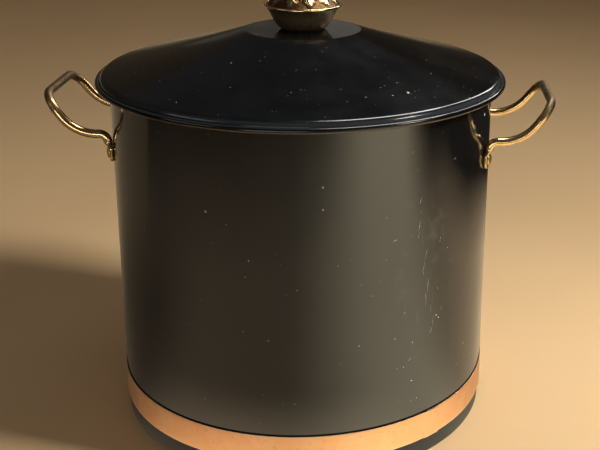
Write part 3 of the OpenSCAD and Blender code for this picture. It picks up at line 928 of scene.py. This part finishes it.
class MESH_OT_coal_tub_rivets(bpy.types.Operator):
    """Model one hammered rivet and place it at the four handle feet"""

    bl_idname = "mesh.coal_tub_rivets"
    bl_label = "Rivets"

    def execute(self, context):
        handle = sizes("handle_sizes")
        shank, head, seat = handle.rivet_r, handle.head_r, handle.head_seat
        outline = self.dome(shank * 1.5, -shank * 0.7, handle.tail_seat)
        outline += [Vector((shank, handle.tail_seat)), Vector((shank, seat))]
        outline += reversed(self.dome(head, handle.head_h, seat))
        rivet = turn("rivet", outline, steps=40, closed=False)
        chance, dent_depth = random.Random(5), 0.22 * MM
        foot_turn = math.atan2(handle.leg_y, handle.foot_x)
        places = [foot_turn, -foot_turn, math.pi + foot_turn, math.pi - foot_turn]
        rivets = []
        for i, turn_to in enumerate(places):
            one = copy_of(rivet, f"rivet_{i + 1}")
            dent = Vector((chance.uniform(-1, 1), chance.uniform(-1, 1))) * head * 0.4

            def struck(place, dent=dent):
                near = 1 - smooth(0, head * 0.9, (place.xy - dent).length)
                return place - Vector((0, 0, dent_depth * near)) if place.z > seat else place

            move_points(one, struck)
            put(one, location=(0, 0, handle.rivet_z), rotation=(0, math.pi / 2, turn_to))
            rivets.append(one)
        bpy.data.objects.remove(rivet)
        heads = join("rivets", rivets)
        shade(heads)
        hand_over(
            heads, "bucket", bpy.data.materials["handle_brass"], "handle_brass", "handle_rivets"
        )
        return {"FINISHED"}

    def dome(self, radius, rise, base):
        """Half outline of a hammered head, from its middle to its flat side."""
        steps = 10
        return [
            Vector((radius * math.sin(a), base + rise * math.cos(a) ** 0.85))
            for a in (math.pi / 2 * i / steps for i in range(steps))
        ] + [Vector((radius, base + rise * 0.04)), Vector((radius * 0.98, base))]


class MESH_OT_coal_tub_lid(bpy.types.Operator):
    """Model the lid: flat top, hollow slope, round shoulder, flange and rolled rim"""

    bl_idname = "mesh.coal_tub_lid"
    bl_label = "Lid"

    def execute(self, context):
        lid = sizes("lid_sizes")
        bead = (lid.flange_r - lid.sheet + lid.bead_r, lid.bead_z)
        closed_at = 360 + math.degrees(lid.bead_close)
        outline = self.face(lid, 0)
        outline += arc(bead, lid.bead_r - lid.sheet, 180, closed_at, 26)
        outline += arc(bead, lid.bead_r, closed_at, 180, 34)
        outline += reversed(self.face(lid, lid.sheet))
        cover = turn("lid_cover", outline, steps=320)
        shade(cover)
        hand_over(cover, "lid", lid_enamel(), "lid_enamel", "lid_shell")
        return {"FINISHED"}

    def face(self, lid, depth):
        """Outline of the lid's face from its hole to its flange, set in by depth."""
        steps, top = 22, lid.top_z - depth
        start, end = Vector((lid.top_r, lid.top_z)), Vector((lid.slope_r, lid.slope_z))
        down = depth * Vector((math.sin(lid.slope), math.cos(lid.slope)))
        slope = []
        for i in range(1, steps):
            t = i / steps
            sink = Vector((0, lid.sag * 4 * t * (1 - t)))
            slope.append(start.lerp(end, t) - sink - down)
        corner = Vector((lid.top_r - 3 * depth * math.tan(lid.slope / 2), top))
        hole = Vector((lid.hole_r, top))
        soft = corner_round(hole, corner, slope[0], 7 * MM, 6)
        shoulder_at = (lid.flange_r - lid.shoulder_r, lid.shoulder_z)
        steepest = 90 - math.degrees(lid.slope)
        return [hole] + soft + slope + arc(shoulder_at, lid.shoulder_r - depth, steepest, 0, 16)


class MESH_OT_coal_tub_bowl(bpy.types.Operator):
    """Model the knob's spun bowl with its rolled rim"""

    bl_idname = "mesh.coal_tub_bowl"
    bl_label = "Knob bowl"

    def execute(self, context):
        knob, hole_r = sizes("knob_sizes"), sizes("lid_sizes").hole_r
        low, sheet, steps = knob.bowl_z, knob.bowl_t, 26
        rim_z, waist = low + knob.bowl_h - sheet, knob.bowl_h * 0.27
        p = [
            Vector((knob.foot_r, low)),
            Vector((knob.waist_r, low + waist)),
            Vector((knob.waist_r, low + knob.bowl_h - waist)),
            Vector((knob.rim_r, rim_z)),
        ]

        def at(t):
            """A point on the wall's curve, from 0 at the foot to 1 at the rim."""
            lower = p[0] * (1 - t) ** 3 + p[1] * 3 * t * (1 - t) ** 2
            return lower + p[2] * 3 * t * t * (1 - t) + p[3] * t**3

        def inwards(t):
            ahead = (at(min(1, t + 0.01)) - at(max(0, t - 0.01))).normalized()
            return Vector((-ahead.y, ahead.x))

        shares = [0.95 * i / steps for i in range(steps + 1)]
        wall = [at(t) for t in shares]
        lining = [at(t) + inwards(t) * sheet for t in shares[2:]]
        hole = Vector((hole_r, low))
        outline = [hole] + corner_round(hole, wall[0], wall[2], 0.8 * MM, 4) + wall[2:]
        outline += arc((knob.rim_r - sheet, rim_z), sheet, -42, 196, 16)
        outline += reversed(lining)
        outline += [Vector((r, low + sheet)) for r in (knob.foot_r - 0.5 * MM, hole_r)]
        bowl = turn("knob_cup", outline, steps=160)
        shade(bowl)
        hand_over(bowl, "lid", knob_dark(), "knob_brass_dark", "knob_bowl")
        return {"FINISHED"}


class MESH_OT_coal_tub_cap(bpy.types.Operator):
    """Model the knob's cap: a dome set with three rings of leaves and a bud"""

    bl_idname = "mesh.coal_tub_cap"
    bl_label = "Knob cap"

    def execute(self, context):
        knob = sizes("knob_sizes")
        parts = [self.dome(knob), self.bud(knob)]
        # Leaves in a ring, where they start and end as shares of the cap's radius, how far the
        # ring is turned in leaves, half a leaf's width in radians times their number, and relief
        rings = [
            (knob.leaves, 0.50, 0.985, 0.0, 2.940, 0.85),
            (knob.leaves, 0.26, 0.74, 0.5, 2.646, 1.0),
            (knob.leaves // 2 + 1, 0.10, 0.46, 0.25, 4.116, 0.92),
        ]
        for count, start, end, offset, spread, rise in rings:
            leaf = self.leaf(knob, start, end, spread / count, rise)
            for i in range(count):
                one = copy_of(leaf, "leaf")
                put(one, rotation=(0, 0, TURN * (i + offset) / count))
                parts.append(one)
            bpy.data.objects.remove(leaf)
        cap = join("knob_leaf_cap", parts)
        self.note_relief(cap, knob)
        shade(cap, math.radians(48))
        hand_over(cap, "lid", knob_gilt(), "knob_brass_bright", "knob_crown")
        return {"FINISHED"}

    def dome_z(self, knob, radius):
        return knob.cap_z + knob.cap_h * (1 - (radius / knob.cap_r) ** 2)

    def leaf_base(self, knob, radius):
        return self.dome_z(knob, radius) - 0.4 * MM

    def dome(self, knob):
        """The domed sheet, sunk a little below the leaves' level except at its edge."""
        sunk, steps = 0.35 * MM, 18
        inner_r = knob.cap_r - 1.45 * MM
        upper, lower = [], []
        for share in (i / steps for i in range(steps + 1)):
            height = self.dome_z(knob, knob.cap_r * share)
            upper.append(Vector((knob.cap_r * share, height - sunk * (1 - share**8))))
            lower.append(Vector((inner_r * share, height - knob.cap_t)))
        return turn("cap_dome", upper + lower[::-1], steps=120, closed=False)

    def bud(self, knob):
        """A scalloped bud in the middle of the leaves."""
        base = self.dome_z(knob, 0) - 1.2 * MM
        radius, rise, steps = 4.6 * MM, 1.2 * MM + knob.leaf_h * 1.35, 10
        outline = []
        for a in (math.pi / 2 * i / steps for i in range(steps + 1)):
            bulge = 1 + 0.12 * math.sin(2 * a)
            outline.append(Vector((radius * math.sin(a) * bulge, base + rise * math.cos(a))))
        bud = turn("cap_bud", outline + [Vector((0, base))], steps=64, closed=False)

        def scallop(place):
            turn_to = math.atan2(place.y, place.x)
            out = math.hypot(place.x, place.y) / radius
            swell = 1 + 0.10 * smooth(0.15, 0.7, out) * abs(math.cos(turn_to * 4)) ** 0.7
            return Vector((place.x * swell, place.y * swell, place.z))

        move_points(bud, scallop)
        return bud

    def leaf(self, knob, start, end, half_angle, rise):
        """One leaf with a scalloped edge, a midrib and side veins, lying on the dome."""
        start_fresh()
        bpy.ops.mesh.primitive_grid_add(x_subdivisions=14, y_subdivisions=18, size=2)
        leaf = bpy.context.object

        def shaped(place):
            across, along = place.x, (place.y + 1) / 2
            wide = math.sin(math.pi * (0.16 + 0.84 * along)) ** 0.62 if along < 0.999 else 0.02
            wide *= 1 + 0.13 * math.cos(TURN * along * 3.2)
            share = start + (end - start) * along
            radius = knob.cap_r * share
            turn_to = across * half_angle * wide * (start + end) / 2 / share
            body = (1 - abs(across) ** 2.6) * 0.62 + (1 - abs(across)) * 0.22
            rib = 0.30 * math.exp(-((across / 0.13) ** 2)) * (1 - along * 0.5)
            veins = 0.10 * math.cos(TURN * (along * 4 - abs(across) * 1.1))
            curl = 0.35 + 0.65 * smooth(0, 0.55, along) - 0.55 * smooth(0.8, 1.0, along)
            height = knob.leaf_h * rise * curl * (body + rib + veins * (1 - abs(across)))
            return round_axis(radius, turn_to, self.leaf_base(knob, radius) + height)

        move_points(leaf, shaped)
        face_out(leaf)
        if leaf.data.polygons[0].normal.z < 0:
            leaf.data.flip_normals()
        finish_modifier(leaf, "SOLIDIFY", thickness=0.6 * MM, offset=-1)
        return leaf

    def note_relief(self, cap, knob):
        """Store how far each point stands out of the dome, from 0 to 1."""
        relief = cap.data.attributes.new("relief", "FLOAT", "POINT")
        for i, vertex in enumerate(cap.data.vertices):
            base = self.leaf_base(knob, vertex.co.xy.length)
            relief.data[i].value = min(1, max(0, (vertex.co.z - base) / knob.leaf_h))


class OBJECT_OT_coal_tub_plain_metal(bpy.types.Operator):
    """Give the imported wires, washers, screw, nut and floor disc their finishes"""

    bl_idname = "object.coal_tub_plain_metal"
    bl_label = "Plain metal"

    def execute(self, context):
        of_steel = ("top_wire", "rivet_washers", "lid_wire", "knob_washer", "knob_nut")
        finishes = dict.fromkeys(of_steel, wire_steel())
        finishes["knob_screw"] = bpy.data.materials["handle_brass"]
        finishes["base_pan"] = floor_enamel()
        for node, material in finishes.items():
            for material_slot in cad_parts[node].material_slots:
                material_slot.material = material
        return {"FINISHED"}


# Where the enamel shows flecks: direction in degrees from the front towards the right handle,
# then height (wall) or radius (lid) and size, in millimetres
WALL_FLECKS = [
    (46, 128, 1.38), (-22, 230, 1.5), (31, 119, 1), (10, 255, 1.25), (47, 125, 1.12),
    (37, 76, 1.25), (50, 185, 1), (37, 111, 1), (52, 260, 1), (20, 119, 0.88),
    (-10, 194, 1), (10, 237, 0.88), (-12, 133, 0.88), (34, 91, 0.88), (32, 91, 0.75),
    (-11, 180, 0.75), (-16, 222, 0.75), (39, 58, 0.88), (24, 161, 0.75), (3, 171, 0.75),
    (14, 190, 0.75), (61, 85, 0.88), (2, 71, 0.75), (37, 57, 0.75), (-5, 127, 0.62),
    (34, 140, 0.62), (71, 284, 2),
]
LID_FLECKS = [
    (40, 142, 2.2), (-33, 93, 1.0), (34, 142, 1.1), (74, 111, 0.8), (56, 169, 0.9),
    (-32, 159, 0.8), (61, 126, 0.8), (-51, 47, 0.9), (41, 126, 0.7), (-21, 127, 0.7),
    (25, 140, 0.8), (1, 129, 0.7),
]

SCRATCH_DEEP, SCRATCH_WIDE = 0.07 * MM, 0.14 * MM
# Long fine scratches on the wall: direction, height, length in millimetres and lean in degrees
WALL_SCRATCHES = [
    (38.7, 234, 6, 12), (38.5, 213, 9, 14), (38.3, 205, 6, 8), (41.1, 186, 10, 18),
    (40.4, 176, 8, 14), (40.2, 171, 5, -20), (42.2, 158, 12, 4), (41.6, 146, 16, -2),
    (43.6, 136, 8, -8), (44.6, 125, 10, 3), (44.0, 116, 6, 20), (46.6, 195, 5, 10),
    (48.0, 132, 4, 30), (46.3, 152, 3, -25), (36.0, 96, 5, 60), (30.5, 205, 4, 75),
]


class MESH_OT_coal_tub_flecks(bpy.types.Operator):
    """Scatter the small chips and dust grains that the enamel shows"""

    bl_idname = "mesh.coal_tub_flecks"
    bl_label = "Flecks"

    def execute(self, context):
        tub, lid = sizes("tub_sizes"), sizes("lid_sizes")
        grey, chance = fleck_grey(), random.Random(11)
        wall = [
            self.fleck((tub.wall_r, 0, height * MM), 0, self.heading(side), size * MM, chance)
            for side, height, size in WALL_FLECKS
        ]
        top = [
            self.fleck(
                (radius * MM, 0, self.lid_z(lid, radius * MM)),
                math.pi / 2 - lid.slope, self.heading(side), size * MM, chance,
            )
            for side, radius, size in LID_FLECKS
        ]
        wall += [
            self.scratch((tub.wall_r, 0, height * MM), self.heading(side), long * MM, lean)
            for side, height, long, lean in WALL_SCRATCHES
        ]
        hand_over(join("wall_flecks", wall), "bucket", grey, "tub_enamel")
        hand_over(join("lid_flecks", top), "lid", grey, "lid_enamel")
        return {"FINISHED"}

    def heading(self, side):
        return math.radians(side - 90)

    def lid_z(self, lid, radius):
        t = max(0, (radius - lid.top_r) / (lid.slope_r - lid.top_r))
        return lid.top_z + (lid.slope_z - lid.top_z) * t - lid.sag * 4 * t * (1 - t)

    def scratch(self, place, heading, long, lean):
        """A hair-fine line on the wall that leans from the upright by so many degrees."""
        start_fresh()
        bpy.ops.mesh.primitive_ico_sphere_add(subdivisions=2, radius=1)
        line = bpy.context.object
        put(line, scale=(SCRATCH_DEEP, SCRATCH_WIDE, long / 2))
        put(line, rotation=(math.radians(-lean), 0, 0), location=place)
        put(line, rotation=(0, 0, heading))
        return line

    def fleck(self, place, lift, heading, size, chance):
        """A flat uneven grain that lies on a face which leans by lift from the upright."""
        start_fresh()
        bpy.ops.mesh.primitive_ico_sphere_add(subdivisions=2, radius=size / 2)
        grain = bpy.context.object
        long, thin = chance.uniform(1.0, 1.7), 0.22

        def uneven(point):
            return point * chance.uniform(0.78, 1.12)

        move_points(grain, uneven)
        put(grain, scale=(thin, 1, 1))
        put(grain, rotation=(chance.uniform(0, math.pi), 0, 0), scale=(1, long, 1))
        put(grain, rotation=(0, -lift, 0), location=place)
        put(grain, rotation=(0, 0, heading))
        return grain


# ---- Stage ----


class StageSettings(bpy.types.PropertyGroup):
    """The camera's place and lens, and the lamps' strength"""

    camera_place: FloatVectorProperty(
        name="Camera place", description="Where the camera stands", subtype="TRANSLATION",
        default=(0.0853, -0.9404, 0.5315), precision=4,
    )
    camera_turn: FloatVectorProperty(
        name="Camera turn", description="How the camera is turned", subtype="EULER",
        default=(math.radians(71.267), math.radians(-1.116), math.radians(0.306)), precision=4,
    )
    lens: FloatProperty(
        name="Lens", description="Focal length of the camera, in millimetres", default=66.04,
        min=10,
    )
    shift: FloatVectorProperty(
        name="Lens shift", description="How far the picture's middle lies off the lens's axis",
        size=2, default=(-0.1667, -0.0867), precision=4,
    )
    brightness: FloatProperty(
        name="Brightness", description="Factor on the power of every lamp", default=1, min=0
    )


WARM_WHITE = (1.0, 0.95, 0.88)

# Soft lamps, which light surfaces and give no reflection:
# name, place, what they face, width and height in metres, watts, spread in degrees
SOFT_LAMPS = [
    ("key", (1.75, -0.45, 1.60), (-0.10, 0.15, 0.0), (0.45, 0.45), 18.5, 110),
    ("pool", (0.75, -0.15, 1.10), (0.27, -0.04, 0.0), (0.30, 0.30), 0.45, 50),
    ("top", (-0.20, -0.20, 1.80), (0.0, 0.0, 0.0), (0.80, 0.80), 2.4, 180),
    ("fill", (-1.40, -1.00, 0.90), (0.0, 0.0, 0.2), (1.2, 0.8), 1.5, 180),
]

# Bright shapes that only polished surfaces mirror, as windows do: the same values
MIRRORED = [
    ("overhead_strip", (0.45, 0.45, 1.62), (0.0, 0.0, 0.3), (0.35, 0.90), 14.0, 180),
    ("window_strip", (0.87, 1.20, 1.30), (0.0, 0.0, 0.3), (0.20, 1.10), 7.0, 180),
    ("sparkle", (1.20, -0.50, 1.15), (0.0, 0.0, 0.2), (0.30, 0.20), 5.0, 180),
    ("left_glow", (-1.40, -0.90, 0.95), (0.0, 0.0, 0.2), (0.9, 0.5), 1.5, 180),
    ("low_card", (-0.35, -2.20, 0.24), (0.0, 0.0, 0.05), (1.30, 0.36), 8.0, 180),
    ("back_card", (-0.06, 2.15, 0.77), (0.0, 0.0, 0.35), (0.40, 0.40), 0.09, 180),
    ("back_card_left", (-0.50, 2.10, 0.72), (0.0, 0.0, 0.35), (0.45, 0.35), 0.04, 180),
]


class OBJECT_OT_coal_tub_stage(bpy.types.Operator):
    """Set up the pale floor and backdrop, the lamps, the world and the camera"""

    bl_idname = "object.coal_tub_stage"
    bl_label = "Stage"

    def execute(self, context):
        settings = sizes("stage_settings")
        room_r, room_h, cove = 3.4, 1.9, 0.9
        side = rounded([(0, 0, 0), (room_r, 0, cove), (room_r, room_h, 0)], False, steps=10)
        room = turn("studio", side, steps=96, closed=False)
        if room.data.polygons[0].normal.z < 0:
            room.data.flip_normals()
        shade(room)
        room.data.materials.append(studio_floor())
        for soft, lamps in ((True, SOFT_LAMPS), (False, MIRRORED)):
            for name, place, target, size, watts, spread in lamps:
                lamp = self.lamp(name, place, target, size, watts * settings.brightness, soft)
                lamp.data.spread = math.radians(spread)
        self.world()
        self.camera(settings)
        context.scene.view_settings.view_transform = "Standard"
        return {"FINISHED"}

    def lamp(self, name, place, target, size, watts, soft):
        start_fresh()
        aim = Vector(target) - Vector(place)
        bpy.ops.object.light_add(
            type="AREA", location=place, rotation=aim.to_track_quat("-Z", "Y").to_euler()
        )
        lamp = bpy.context.object
        lamp.name, lamp.visible_camera = name, False
        lamp.visible_diffuse, lamp.visible_glossy = soft, not soft
        lamp.data.shape, lamp.data.size, lamp.data.size_y = "RECTANGLE", *size
        lamp.data.energy, lamp.data.color = watts, WARM_WHITE
        return lamp

    def world(self):
        world = bpy.data.worlds.new("soft_room")
        world.use_nodes = True
        background = world.node_tree.nodes["Background"]
        background.inputs["Color"].default_value = (0.95, 0.97, 1.0, 1)
        background.inputs["Strength"].default_value = 0.045
        bpy.context.scene.world = world

    def camera(self, settings):
        start_fresh()
        bpy.ops.object.camera_add(location=settings.camera_place, rotation=settings.camera_turn)
        camera = bpy.context.object
        camera.data.lens, camera.data.sensor_width = settings.lens, 36
        camera.data.shift_x, camera.data.shift_y = settings.shift
        camera.data.clip_start = 0.01
        bpy.context.scene.camera = camera


OPERATORS = (
    MESH_OT_coal_tub_wall,
    MESH_OT_coal_tub_foot,
    MESH_OT_coal_tub_band,
    MESH_OT_coal_tub_handles,
    MESH_OT_coal_tub_rivets,
    MESH_OT_coal_tub_lid,
    MESH_OT_coal_tub_bowl,
    MESH_OT_coal_tub_cap,
    OBJECT_OT_coal_tub_plain_metal,
    MESH_OT_coal_tub_flecks,
    OBJECT_OT_coal_tub_stage,
)

GROUPS = {
    "tub_sizes": TubSizes,
    "handle_sizes": HandleSizes,
    "lid_sizes": LidSizes,
    "knob_sizes": KnobSizes,
    "finishes": Finishes,
    "stage_settings": StageSettings,
}


class VIEW3D_PT_coal_tub(bpy.types.Panel):
    """The tub's pieces and their settings"""

    bl_label = "Coal tub"
    bl_space_type = "VIEW_3D"
    bl_region_type = "UI"
    bl_category = "Coal tub"

    def draw(self, context):
        for operator in OPERATORS:
            self.layout.operator(operator.bl_idname)
        for group, kind in GROUPS.items():
            box = self.layout.box()
            for name in kind.__annotations__:
                box.prop(getattr(context.scene, group), name)


def register():
    for kind in (*GROUPS.values(), *OPERATORS, VIEW3D_PT_coal_tub):
        bpy.utils.register_class(kind)
    for group, kind in GROUPS.items():
        setattr(bpy.types.Scene, group, PointerProperty(type=kind))


def unregister():
    for group in GROUPS:
        delattr(bpy.types.Scene, group)
    for kind in (VIEW3D_PT_coal_tub, *reversed(OPERATORS), *reversed(GROUPS.values())):
        bpy.utils.unregister_class(kind)


def main():
    register()
    for operator in OPERATORS:
        area, name = operator.bl_idname.split(".")
        if getattr(getattr(bpy.ops, area), name)() != {"FINISHED"}:
            raise RuntimeError(f"{operator.bl_label} was not finished")


if __name__ == "__main__":
    main()
